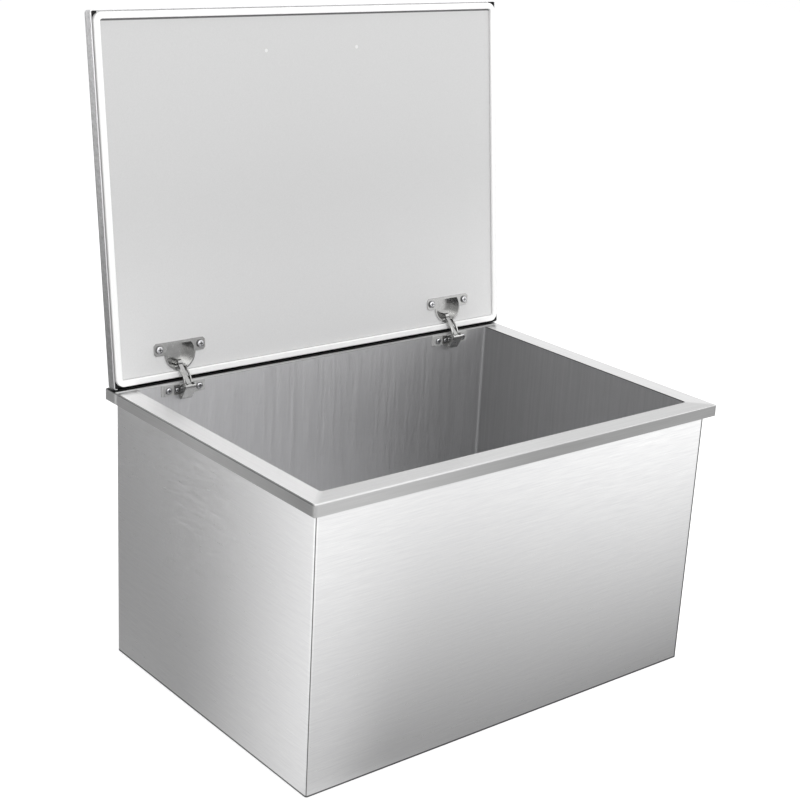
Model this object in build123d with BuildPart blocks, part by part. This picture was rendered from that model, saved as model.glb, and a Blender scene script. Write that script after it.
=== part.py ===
from build123d import *
import os
from math import cos, radians, sin

os.makedirs("parts", exist_ok=True)

# Overall sizes in millimetres: X runs right, Y back, Z up, from the middle of the base's underside
rim_length = 508.0
rim_depth = 356.0
bin_height = 290.0
overrun = 2.0  # carries every cut past the faces that it opens

# Rim: a flat flange with a turned-down lip, hemmed inwards where it sits on the worktop
rim_width = 22.0
rim_sheet = 1.2
rim_lip_height = 12.0
rim_overhang = 8.0
rim_hem_gap = 0.5
rim_bend_radius = 1.6
rim_corner_radius = 1.0

# Well liner: a welded tub with small corners, a rounded floor and a flange under the rim
liner_sheet = 0.8
well_corner_radius = 3.0
well_floor_height = 36.0
well_floor_radius = 12.0
liner_flange = 8.0

# Outer casing and the base pan inside its foot
casing_sheet = 0.9
casing_corner_radius = 2.6
casing_flange_gap = 0.5
base_sheet = 0.9
base_upturn = 14.0
foam_gap = 0.3

# Drain: a flanged tail through the floor, held by a nut over two washers
drain_back = 70.0
drain_recess_radius = 34.0
drain_recess_depth = 4.0
drain_flange_radius = 30.0
drain_flange_thickness = 2.0
drain_tail_radius = 10.5
drain_spigot_radius = 10.0
drain_spigot_length = 18.0
drain_bore_radius = 8.0
drain_tail_foot = 3.0
drain_gasket_thickness = 1.5
drain_nut_thickness = 7.0
drain_nut_flats = 34.0
drain_access_radius = 38.0
drain_hole_clearance = 0.4
thread_clearance = 0.05
strainer_bar = 2.0
strainer_depth = 3.0

# Stopper: a tapered rubber plug with a flat cap and a pull knob
plug_clearance = 0.3
plug_taper = 0.8
plug_length = 12.0
plug_cap_radius = 15.0
plug_cap_thickness = 3.0
plug_knob_radius = 5.0
plug_knob_height = 11.0
plug_neck_radius = 3.0

# Lid: it stands open, leaning back past upright
lid_lean = 6.6
lid_overhang = 10.0
lid_thickness = 15.0
lid_inset = 3.7
lid_gap = 2.1
lid_sheet = 0.9
lid_edge_radius = 5.0
lid_corner_radius = 2.2
lid_lip_round = 0.4

# Seal channel round the lid's inner panel, and the seal in it
channel_depth = 2.5
seal_side_gap = 0.2
seal_outer_gap = 1.2
seal_width = 6.4
seal_proud = 2.7
seal_corner_radius = 9.0
seal_outer_round = 1.5
seal_inner_round = 1.0
panel_sheet = 0.6

# Bow handle on the lid's outer face
handle_spacing = 115.0
handle_from_front = 44.0
handle_radius = 5.5
handle_reach = 34.0
handle_bend_radius = 13.0
handle_washer_radius = 9.0
handle_washer_thickness = 1.0
handle_screw_radius = 2.0
handle_screw_depth = 12.0
handle_head_radius = 3.0
handle_head_height = 2.3

# Concealed hinges: places from the well wall's face, the rim's top and the lid's hinge edge
hinge_from_side = 76.4
outer_pivot_out = 5.3
outer_pivot_down = 13.1
outer_knee_out = 8.5
outer_knee_up = 3.0
inner_pivot_out = 12.15
inner_pivot_down = 1.3
inner_knee_back = 1.5
inner_knee_up = 12.2
cup_outer_pivot_up = 12.5
cup_outer_pivot_in = 1.6
cup_inner_pivot_up = 16.25
cup_inner_pivot_in = 3.05
pin_radius = 1.1
pin_clearance = 0.05
pin_head_radius = 1.9
pin_head_thickness = 0.7
link_width = 2.4
link_eye_radius = 2.2
inner_bar_half_width = 2.3
inner_eye_radius = 2.4
free_eye_radius = 3.4
free_eye_bore = 2.4
layer_gap = 0.3
cup_tab_thickness = 0.6
cup_tab_eye_radius = 1.9
cheek_gap = 0.2
cheek_thickness = 1.2

# Hinge cup pressed into the lid, with an eared plate that bridges its flat top
cup_centre_up = 27.2
cup_radius = 17.4
cup_wall = 0.8
cup_depth = 11.8
cup_flange_radius = 18.1
cup_bridge = 2.7
cup_hole_clearance = 0.2
ear_thickness = 1.0
ear_spacing = 48.0
ear_offset = 6.0
ear_end = 5.8
ear_height = 13.0
ear_chamfer = 2.4
ear_screw_radius = 2.0
ear_screw_length = 9.0
ear_head_radius = 3.7
ear_head_height = 2.1
cup_relief_depth = 5.0
lid_backing_thickness = 1.5
lid_backing_margin = 3.0

# Wing plate and arm on the well's back wall
wing_half_length = 25.6
wing_raised_half_length = 22.6
wing_height = 11.8
wing_below_rim = 0.7
wing_sheet = 0.9
wing_raised = 1.8
wing_corner_radius = 1.0
wing_notch_depth = 1.6
wing_screw_half_spacing = 18.0
wing_screw_radius = 2.0
wing_screw_length = 6.0
wing_head_radius = 3.4
wing_head_height = 2.2
wall_backing_thickness = 2.0
wall_backing_drop = 1.2
arm_wall = 1.2
arm_skin = 0.8
arm_nose_clearance = 0.3
arm_foot_width = 5.0
arm_foot_sheet = 1.0
arm_seat_round = 0.5
arm_screw_radius = 1.2
arm_screw_length = 1.6
arm_head_radius = 2.0
arm_head_height = 1.2

# Places that several pieces share
lid_width = rim_length
lid_depth = rim_depth + lid_overhang
rim_top = bin_height
rim_underside = rim_top - rim_sheet
well_length = rim_length - 2 * rim_width
well_depth = rim_depth - 2 * rim_width
well_back = well_depth / 2
casing_length = rim_length - 2 * rim_overhang
casing_depth = rim_depth - 2 * rim_overhang
casing_inner_length = casing_length - 2 * casing_sheet
casing_inner_depth = casing_depth - 2 * casing_sheet
casing_inner_radius = casing_corner_radius - casing_sheet
liner_length = well_length + 2 * liner_sheet
liner_depth = well_depth + 2 * liner_sheet
liner_radius = well_corner_radius + liner_sheet
liner_bottom = well_floor_height - liner_sheet
flange_length = well_length + 2 * liner_flange
flange_depth = well_depth + 2 * liner_flange
flange_bottom = rim_underside - liner_sheet
drain_axis = Axis((0, drain_back, 0), (0, 0, 1))
drain_section = Plane(origin=(0, drain_back, 0), x_dir=(1, 0, 0), z_dir=(0, -1, 0))
recess_floor = well_floor_height - drain_recess_depth
recess_underside = recess_floor - liner_sheet
drain_flange_top = recess_floor + drain_gasket_thickness + drain_flange_thickness
drain_hole_radius = drain_tail_radius + drain_hole_clearance


def finish(piece, name):
    """Labels a finished piece and writes it under its own name."""
    piece.part.label = name
    export_step(piece.part, f"parts/{name}.step")


# Rim frame: flange, lip and hem as one folded and mitred sheet
with BuildPart() as rim_frame:
    with BuildSketch(Plane.XY.offset(rim_underside)):
        Rectangle(rim_length, rim_depth)
        RectangleRounded(well_length, well_depth, well_corner_radius, mode=Mode.SUBTRACT)
    extrude(amount=rim_sheet)
    with BuildSketch(Plane.XY.offset(rim_top - rim_lip_height)):
        Rectangle(rim_length, rim_depth)
        Rectangle(rim_length - 2 * rim_sheet, rim_depth - 2 * rim_sheet, mode=Mode.SUBTRACT)
    extrude(amount=rim_lip_height - rim_sheet)
    with BuildSketch(Plane.XY.offset(rim_top - rim_lip_height)):
        Rectangle(rim_length, rim_depth)
        Rectangle(
            casing_length + 2 * rim_hem_gap,
            casing_depth + 2 * rim_hem_gap,
            mode=Mode.SUBTRACT,
        )
    extrude(amount=rim_sheet)
    outer_uprights = rim_frame.edges().filter_by(Axis.Z).group_by(SortBy.DISTANCE)[-1]
    fillet(outer_uprights, rim_corner_radius)
    outer_top = rim_frame.faces().sort_by(Axis.Z)[-1].outer_wire().edges()
    fillet(outer_top, rim_bend_radius)
finish(rim_frame, "rim_frame")

# Well liner, with a pressed recess for the drain's flange
with BuildPart() as well_liner:
    with BuildSketch(Plane.XY.offset(liner_bottom)):
        RectangleRounded(liner_length, liner_depth, liner_radius)
    extrude(amount=rim_underside - liner_bottom)
    fillet(well_liner.faces().sort_by(Axis.Z)[0].edges(), well_floor_radius + liner_sheet)
    with BuildSketch(Plane.XY.offset(recess_underside)):
        with Locations((0, drain_back)):
            Circle(drain_recess_radius + liner_sheet)
    extrude(amount=drain_recess_depth)
    offset(amount=-liner_sheet, openings=well_liner.faces().sort_by(Axis.Z)[-1])
    with BuildSketch(Plane.XY.offset(flange_bottom)):
        Rectangle(flange_length, flange_depth)
        RectangleRounded(well_length, well_depth, well_corner_radius, mode=Mode.SUBTRACT)
    extrude(amount=liner_sheet)
    with BuildSketch(Plane.XY.offset(recess_underside - overrun)):
        with Locations((0, drain_back)):
            Circle(drain_hole_radius)
    extrude(amount=liner_sheet + 2 * overrun, mode=Mode.SUBTRACT)
    with BuildSketch(Plane.XZ.offset(overrun - well_back)):
        for side in (-1, 1):
            hinge_x = side * (lid_width / 2 - hinge_from_side)
            for end in (-1, 1):
                with Locations(
                    (
                        hinge_x + end * wing_screw_half_spacing,
                        rim_top - wing_below_rim - wing_height / 2,
                    )
                ):
                    Circle(wing_screw_radius)
    extrude(amount=-liner_sheet - 2 * overrun, mode=Mode.SUBTRACT)
finish(well_liner, "well_liner")

# Outer casing, wrapped round four sides and turned in under the rim
with BuildPart() as outer_casing:
    with BuildSketch():
        RectangleRounded(casing_length, casing_depth, casing_corner_radius)
        RectangleRounded(
            casing_inner_length,
            casing_inner_depth,
            casing_inner_radius,
            mode=Mode.SUBTRACT,
        )
    extrude(amount=rim_underside)
    with BuildSketch(Plane.XY.offset(rim_underside - casing_sheet)):
        RectangleRounded(casing_length, casing_depth, casing_corner_radius)
        Rectangle(
            flange_length + 2 * casing_flange_gap,
            flange_depth + 2 * casing_flange_gap,
            mode=Mode.SUBTRACT,
        )
    extrude(amount=casing_sheet)
finish(outer_casing, "outer_casing")

# Base pan: turned up inside the casing's foot, with a round opening to reach the drain
with BuildPart() as base_pan:
    with BuildSketch():
        RectangleRounded(casing_inner_length, casing_inner_depth, casing_inner_radius)
    extrude(amount=base_upturn)
    offset(amount=-base_sheet, openings=base_pan.faces().sort_by(Axis.Z)[-1])
    with BuildSketch(Plane.XY.offset(-overrun)):
        with Locations((0, drain_back)):
            Circle(drain_access_radius)
    extrude(amount=base_sheet + 2 * overrun, mode=Mode.SUBTRACT)
finish(base_pan, "base_pan")

# Backing strips that take the wing screws behind the liner's back wall
backing_top = flange_bottom - foam_gap
backing_centre_z = rim_top - wing_below_rim - wing_height / 2 - wall_backing_drop
backing_height = 2 * (backing_top - backing_centre_z)
backing_face = well_back + liner_sheet
with BuildPart() as wall_backing_plates:
    with BuildSketch(Plane.XZ.offset(-backing_face)):
        for side in (-1, 1):
            with Locations((side * (lid_width / 2 - hinge_from_side), backing_centre_z)):
                Rectangle(2 * wing_half_length, backing_height)
        for side in (-1, 1):
            for end in (-1, 1):
                with Locations(
                    (
                        side * (lid_width / 2 - hinge_from_side) + end * wing_screw_half_spacing,
                        rim_top - wing_below_rim - wing_height / 2,
                    )
                ):
                    Circle(wing_screw_radius + thread_clearance, mode=Mode.SUBTRACT)
    extrude(amount=-wall_backing_thickness)
finish(wall_backing_plates, "wall_backing_plates")

# Foam between the liner and the casing
foam_outset = base_sheet + foam_gap
with BuildPart() as body_foam:
    with BuildSketch(Plane.XY.offset(base_sheet)):
        Rectangle(casing_inner_length - 2 * foam_outset, casing_inner_depth - 2 * foam_outset)
        with Locations((0, drain_back)):
            Circle(drain_access_radius, mode=Mode.SUBTRACT)
    extrude(amount=flange_bottom - foam_gap - base_sheet)
    with BuildSketch(Plane.XY.offset(liner_bottom - foam_gap)):
        Rectangle(liner_length + 2 * foam_gap, liner_depth + 2 * foam_gap)
    extrude(amount=rim_top - liner_bottom, mode=Mode.SUBTRACT)
    for side in (-1, 1):
        with BuildSketch(Plane.XZ.offset(-backing_face + foam_gap)):
            with Locations((side * (lid_width / 2 - hinge_from_side), backing_centre_z)):
                Rectangle(
                    2 * (wing_half_length + foam_gap),
                    backing_height + 2 * overrun,
                )
        extrude(amount=-wall_backing_thickness - 2 * overrun, mode=Mode.SUBTRACT)
finish(body_foam, "body_foam")

# Drain body: flange, plain bore with a cross strainer, and the tail
with BuildPart() as drain_body:
    with BuildSketch(drain_section):
        with Locations((0, drain_tail_foot)):
            Rectangle(drain_spigot_radius, drain_spigot_length, align=Align.MIN)
        with Locations((0, drain_tail_foot + drain_spigot_length)):
            Rectangle(
                drain_tail_radius,
                drain_flange_top - drain_tail_foot - drain_spigot_length,
                align=Align.MIN,
            )
        with Locations((0, drain_flange_top - drain_flange_thickness)):
            Rectangle(drain_flange_radius, drain_flange_thickness, align=Align.MIN)
        with Locations((0, drain_tail_foot)):
            Rectangle(
                drain_bore_radius,
                drain_flange_top - drain_tail_foot,
                align=Align.MIN,
                mode=Mode.SUBTRACT,
            )
    revolve(axis=drain_axis)
    strainer_top = drain_flange_top - plug_length - plug_clearance
    with BuildSketch(Plane.XY.offset(strainer_top - strainer_depth)):
        with Locations((0, drain_back)):
            Rectangle(2 * drain_bore_radius + strainer_bar, strainer_bar)
            Rectangle(strainer_bar, 2 * drain_bore_radius + strainer_bar)
    extrude(amount=strainer_depth)
    mouth = drain_body.edges().filter_by(GeomType.CIRCLE).group_by(Axis.Z)[-1].sort_by(SortBy.RADIUS)
    chamfer(mouth[0], plug_taper)
    fillet(mouth[-1], drain_flange_thickness / 2)
finish(drain_body, "drain_body")

with BuildPart() as drain_gasket:
    with BuildSketch(Plane.XY.offset(recess_floor)):
        with Locations((0, drain_back)):
            Circle(drain_flange_radius)
            Circle(drain_hole_radius, mode=Mode.SUBTRACT)
    extrude(amount=drain_gasket_thickness)
finish(drain_gasket, "drain_gasket")

with BuildPart() as drain_washer:
    with BuildSketch(Plane.XY.offset(recess_underside - drain_gasket_thickness)):
        with Locations((0, drain_back)):
            Circle(drain_nut_flats / 2 + drain_gasket_thickness)
            Circle(drain_hole_radius, mode=Mode.SUBTRACT)
    extrude(amount=drain_gasket_thickness)
finish(drain_washer, "drain_washer")

drain_nut_bottom = recess_underside - drain_gasket_thickness - drain_nut_thickness
with BuildPart() as drain_nut:
    with BuildSketch(Plane.XY.offset(drain_nut_bottom)):
        with Locations((0, drain_back)):
            RegularPolygon(drain_nut_flats / 2, 6, major_radius=False)
            Circle(drain_tail_radius + thread_clearance, mode=Mode.SUBTRACT)
    extrude(amount=drain_nut_thickness)
finish(drain_nut, "drain_nut")

# Stopper: the taper hangs in the bore and the cap lies on the flange
plug_seat = drain_flange_top + plug_clearance
plug_root_radius = drain_bore_radius - plug_clearance
with BuildPart() as drain_plug:
    with BuildSketch(drain_section):
        with BuildLine():
            Polyline(
                (0, plug_seat - plug_length),
                (plug_root_radius - plug_taper, plug_seat - plug_length),
                (plug_root_radius, plug_seat),
                (plug_cap_radius, plug_seat),
                (plug_cap_radius, plug_seat + plug_cap_thickness),
                (plug_neck_radius, plug_seat + plug_cap_thickness),
                (plug_neck_radius, plug_seat + plug_knob_height),
                (0, plug_seat + plug_knob_height),
                close=True,
            )
        make_face()
    revolve(axis=drain_axis)
    with Locations((0, drain_back, plug_seat + plug_knob_height)):
        Sphere(plug_knob_radius)
    cap_edge = drain_plug.edges().filter_by(GeomType.CIRCLE).sort_by(SortBy.RADIUS)[-2:]
    fillet(cap_edge.sort_by(Axis.Z)[-1], plug_cap_thickness / 2)
finish(drain_plug, "drain_plug")

# The open lid's own plane: x across, y up the lid from its hinge edge, z towards the inside
lean = radians(lid_lean)
lid_plane = Plane(
    origin=(0, well_back + lid_inset, rim_top + lid_gap),
    x_dir=(1, 0, 0),
    z_dir=(0, -cos(lean), sin(lean)),
)
lid_axis = Axis(lid_plane.origin, lid_plane.z_dir)
lid_middle = lid_depth / 2
handle_up = lid_depth - handle_from_front
panel_inset = lid_sheet + seal_side_gap
seal_inset = lid_sheet + seal_outer_gap
step_inset = seal_inset + seal_width + seal_side_gap
hinge_places = [-(lid_width / 2 - hinge_from_side), lid_width / 2 - hinge_from_side]
ear_places = [x + end * ear_spacing / 2 for x in hinge_places for end in (-1, 1)]
ear_up = cup_centre_up + ear_offset
ear_top = ear_up + ear_height / 2
cup_flat_up = ear_top - cup_bridge
handle_places = [-handle_spacing / 2, handle_spacing / 2]


def inside(depth):
    """Gives the lid's plane at a depth measured outwards from the lip."""
    return lid_plane.offset(-depth)


def cup_outline(places, radius, top):
    """Draws the cup's round outline in the open sketch, cut off straight at its top."""
    for x in places:
        with Locations((x, cup_centre_up)):
            Circle(radius)
        with Locations((x, top)):
            Rectangle(2 * radius, 2 * radius, align=(Align.CENTER, Align.MIN), mode=Mode.SUBTRACT)


# Lid shell: a pressed pan with rounded outer edges and a plain lip
with BuildPart() as lid_cavity:
    with BuildSketch(inside(lid_thickness - lid_sheet)):
        with Locations((0, lid_middle)):
            Rectangle(lid_width - 2 * lid_sheet, lid_depth - 2 * lid_sheet)
    extrude(amount=lid_thickness - lid_sheet + overrun)
    fillet(lid_cavity.edges().filter_by(lid_axis), lid_corner_radius - lid_sheet)
    cavity_back = lid_cavity.faces().sort_by(lid_axis)[0]
    fillet(cavity_back.edges(), lid_edge_radius - lid_sheet)

with BuildPart() as lid_shell:
    with BuildSketch(inside(lid_thickness)):
        with Locations((0, lid_middle)):
            Rectangle(lid_width, lid_depth)
    extrude(amount=lid_thickness)
    fillet(lid_shell.edges().filter_by(lid_axis), lid_corner_radius)
    back_face = lid_shell.faces().sort_by(lid_axis)[0]
    fillet(back_face.edges(), lid_edge_radius)
    lip_face = lid_shell.faces().sort_by(lid_axis)[-1]
    fillet(lip_face.edges(), lid_lip_round)
    add(lid_cavity.part, mode=Mode.SUBTRACT)
    with BuildSketch(inside(lid_thickness + overrun)):
        for x in handle_places:
            with Locations((x, handle_up)):
                Circle(handle_screw_radius)
    extrude(amount=lid_sheet + 2 * overrun, mode=Mode.SUBTRACT)
finish(lid_shell, "lid_shell")

# Lid inner panel: flat, stepped down round its edge into the seal's channel
with BuildPart() as lid_panel:
    with BuildSketch(inside(channel_depth + panel_sheet)):
        with Locations((0, lid_middle)):
            RectangleRounded(
                lid_width - 2 * panel_inset,
                lid_depth - 2 * panel_inset,
                lid_corner_radius - lid_sheet,
            )
            Rectangle(
                lid_width - 2 * (step_inset + panel_sheet),
                lid_depth - 2 * (step_inset + panel_sheet),
                mode=Mode.SUBTRACT,
            )
    extrude(amount=panel_sheet)
    with BuildSketch(inside(channel_depth)):
        with Locations((0, lid_middle)):
            RectangleRounded(
                lid_width - 2 * step_inset,
                lid_depth - 2 * step_inset,
                seal_corner_radius - seal_width + seal_side_gap,
            )
            Rectangle(
                lid_width - 2 * (step_inset + panel_sheet),
                lid_depth - 2 * (step_inset + panel_sheet),
                mode=Mode.SUBTRACT,
            )
    extrude(amount=channel_depth)
    with BuildSketch(inside(panel_sheet)):
        with Locations((0, lid_middle)):
            RectangleRounded(
                lid_width - 2 * step_inset,
                lid_depth - 2 * step_inset,
                seal_corner_radius - seal_width + seal_side_gap,
            )
    extrude(amount=panel_sheet)
    with BuildSketch(inside(channel_depth + overrun)):
        cup_outline(
            hinge_places,
            cup_radius + cup_hole_clearance,
            cup_flat_up + cup_wall + cup_hole_clearance,
        )
        for x in ear_places:
            with Locations((x, ear_up)):
                Circle(ear_screw_radius)
        for x in handle_places:
            with Locations((x, handle_up)):
                Circle(handle_screw_radius)
    extrude(amount=channel_depth + 2 * overrun, mode=Mode.SUBTRACT)
finish(lid_panel, "lid_panel")

# Lid seal: a soft rounded strip that runs all the way round
with BuildPart() as lid_seal:
    with BuildSketch(inside(channel_depth)):
        with Locations((0, lid_middle)):
            RectangleRounded(
                lid_width - 2 * seal_inset,
                lid_depth - 2 * seal_inset,
                seal_corner_radius,
            )
            RectangleRounded(
                lid_width - 2 * (seal_inset + seal_width),
                lid_depth - 2 * (seal_inset + seal_width),
                seal_corner_radius - seal_width,
                mode=Mode.SUBTRACT,
            )
    extrude(amount=channel_depth + seal_proud)
    seal_face = lid_seal.faces().sort_by(lid_axis)[-1]
    fillet(seal_face.outer_wire().edges(), seal_outer_round)
    seal_face = lid_seal.faces().sort_by(lid_axis)[-1]
    fillet(seal_face.inner_wires()[0].edges(), seal_inner_round)
finish(lid_seal, "lid_seal")

# Backing plates behind the panel, which take the cup screws
with BuildPart() as lid_backing_plates:
    with BuildSketch(inside(panel_sheet + lid_backing_thickness)):
        for x in hinge_places:
            with Locations((x, ear_up)):
                Rectangle(
                    ear_spacing + 2 * (ear_end + lid_backing_margin),
                    ear_height + 2 * lid_backing_margin,
                )
        for x in ear_places:
            with Locations((x, ear_up)):
                Circle(ear_screw_radius + thread_clearance, mode=Mode.SUBTRACT)
    extrude(amount=lid_backing_thickness)
    with BuildSketch(inside(panel_sheet + lid_backing_thickness)):
        cup_outline(
            hinge_places,
            cup_radius + cup_hole_clearance,
            cup_flat_up + cup_wall + cup_hole_clearance,
        )
    extrude(amount=lid_backing_thickness, mode=Mode.SUBTRACT)
finish(lid_backing_plates, "lid_backing_plates")

# Lid foam, with room for the cups, their plates and screws and the handle screws
lid_foam_inset = lid_sheet + foam_gap
with BuildPart() as lid_foam:
    with BuildSketch(inside(lid_thickness - lid_sheet - foam_gap)):
        with Locations((0, lid_middle)):
            Rectangle(
                lid_width - 2 * lid_edge_radius,
                lid_depth - 2 * lid_edge_radius,
            )
    extrude(amount=lid_thickness - lid_sheet - 2 * foam_gap - channel_depth - panel_sheet)
    with BuildSketch(inside(channel_depth + panel_sheet + foam_gap)):
        with Locations((0, lid_middle)):
            Rectangle(
                lid_width - 2 * (step_inset + panel_sheet + foam_gap),
                lid_depth - 2 * (step_inset + panel_sheet + foam_gap),
            )
    extrude(amount=channel_depth)
    with BuildSketch(inside(cup_depth + foam_gap)):
        cup_outline(hinge_places, cup_flange_radius + foam_gap, cup_flat_up + cup_wall + foam_gap)
    extrude(amount=cup_depth + foam_gap, mode=Mode.SUBTRACT)
    with BuildSketch(inside(panel_sheet + lid_backing_thickness + foam_gap)):
        for x in hinge_places:
            with Locations((x, ear_up)):
                Rectangle(
                    ear_spacing + 2 * (ear_end + lid_backing_margin + foam_gap),
                    ear_height + 2 * (lid_backing_margin + foam_gap),
                )
    extrude(amount=lid_backing_thickness + foam_gap, mode=Mode.SUBTRACT)
    with BuildSketch(inside(ear_screw_length)):
        for x in ear_places:
            with Locations((x, ear_up)):
                Circle(ear_screw_radius + foam_gap)
    extrude(amount=ear_screw_length, mode=Mode.SUBTRACT)
    with BuildSketch(inside(lid_thickness)):
        for x in handle_places:
            with Locations((x, handle_up)):
                Circle(handle_screw_radius + foam_gap)
    extrude(amount=lid_thickness, mode=Mode.SUBTRACT)
finish(lid_foam, "lid_foam")

# Washers under the handle's feet
with BuildPart() as handle_washers:
    with BuildSketch(inside(lid_thickness + handle_washer_thickness)):
        for x in handle_places:
            with Locations((x, handle_up)):
                Circle(handle_washer_radius)
                Circle(handle_screw_radius + thread_clearance, mode=Mode.SUBTRACT)
    extrude(amount=handle_washer_thickness)
    washer_rims = handle_washers.edges().group_by(lid_axis)[0].filter_by(
        lambda edge: edge.radius > handle_screw_radius + overrun
    )
    fillet(washer_rims, handle_washer_thickness / 2)
finish(handle_washers, "handle_washers")

# Bow handle: one bent bar whose feet are tapped for the screws
handle_foot = lid_thickness + handle_washer_thickness
handle_plane = Plane(
    origin=lid_plane.from_local_coords((0, handle_up, 0)),
    x_dir=(1, 0, 0),
    z_dir=(0, sin(lean), cos(lean)),
)
with BuildPart() as handle_bar:
    with BuildLine(handle_plane) as handle_path:
        FilletPolyline(
            (-handle_spacing / 2, handle_foot),
            (-handle_spacing / 2, handle_foot + handle_reach),
            (handle_spacing / 2, handle_foot + handle_reach),
            (handle_spacing / 2, handle_foot),
            radius=handle_bend_radius,
        )
    with BuildSketch(Plane(origin=handle_path.line @ 0, z_dir=handle_path.line % 0)):
        Circle(handle_radius)
    sweep()
    with BuildSketch(inside(handle_foot + handle_screw_depth)):
        for x in handle_places:
            with Locations((x, handle_up)):
                Circle(handle_screw_radius + thread_clearance)
    extrude(amount=handle_screw_depth, mode=Mode.SUBTRACT)
finish(handle_bar, "handle_bar")


def screws(places, up, shank, shank_length, head, head_height, seat):
    """Makes a group of like screws with domed heads, driven into the lid."""
    with BuildPart() as group:
        with BuildSketch(inside(seat)):
            for x in places:
                with Locations((x, up)):
                    Circle(head)
        extrude(amount=head_height)
        tops = group.faces().group_by(lid_axis)[-1]
        fillet(tops.edges(), head_height / 2)
        with BuildSketch(inside(seat)):
            for x in places:
                with Locations((x, up)):
                    Circle(shank)
        extrude(amount=-shank_length)
    return group


handle_screws = screws(
    handle_places,
    handle_up,
    handle_screw_radius,
    handle_foot + handle_screw_depth - overrun,
    handle_head_radius,
    handle_head_height,
    0,
)
finish(handle_screws, "handle_screws")

cup_screws = screws(
    ear_places,
    ear_up,
    ear_screw_radius,
    ear_screw_length,
    ear_head_radius,
    ear_head_height,
    -ear_thickness,
)
finish(cup_screws, "cup_screws")


# Hinge pivots in the side view: y back and z up
def from_rim(out, up):
    """Gives a point from the well wall's face and the rim's top."""
    return (well_back - out, rim_top + up)


def on_lid(up, depth):
    """Gives a point of the open lid from its hinge edge and its lip."""
    y = well_back + lid_inset + up * sin(lean) + depth * cos(lean)
    z = rim_top + lid_gap + up * cos(lean) - depth * sin(lean)
    return (y, z)


outer_pivot = from_rim(outer_pivot_out, -outer_pivot_down)
inner_pivot = from_rim(inner_pivot_out, -inner_pivot_down)
cup_outer_pivot = on_lid(cup_outer_pivot_up, cup_outer_pivot_in)
cup_inner_pivot = on_lid(cup_inner_pivot_up, cup_inner_pivot_in)
outer_spine = ThreePointArc(outer_pivot, from_rim(outer_knee_out, outer_knee_up), cup_outer_pivot)
inner_knee = from_rim(-inner_knee_back, inner_knee_up)
bore_radius = pin_radius + pin_clearance

# Layers across each hinge, from its middle outwards
inner_tab_near = inner_bar_half_width + layer_gap
inner_tab_far = inner_tab_near + cup_tab_thickness
cheek_near = inner_tab_far + cheek_gap
cheek_far = cheek_near + cheek_thickness
arm_near = cheek_far + layer_gap
arm_far = arm_near + arm_wall
outer_nose = link_eye_radius + arm_nose_clearance
inner_nose = inner_eye_radius + arm_nose_clearance
wing_face = wing_raised
cup_floor = cup_depth - cup_wall

# Shape of the arm's side walls: rounds at both pivots and two seats on the wing plate
arm_seat_top = (well_back - wing_face - arm_seat_round, rim_top - wing_below_rim - wing_head_radius)
arm_seat_foot = (well_back - wing_face - arm_seat_round, rim_top - wing_below_rim - wing_height)
arm_foot_middle = rim_top - wing_below_rim - wing_height / 2

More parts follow.
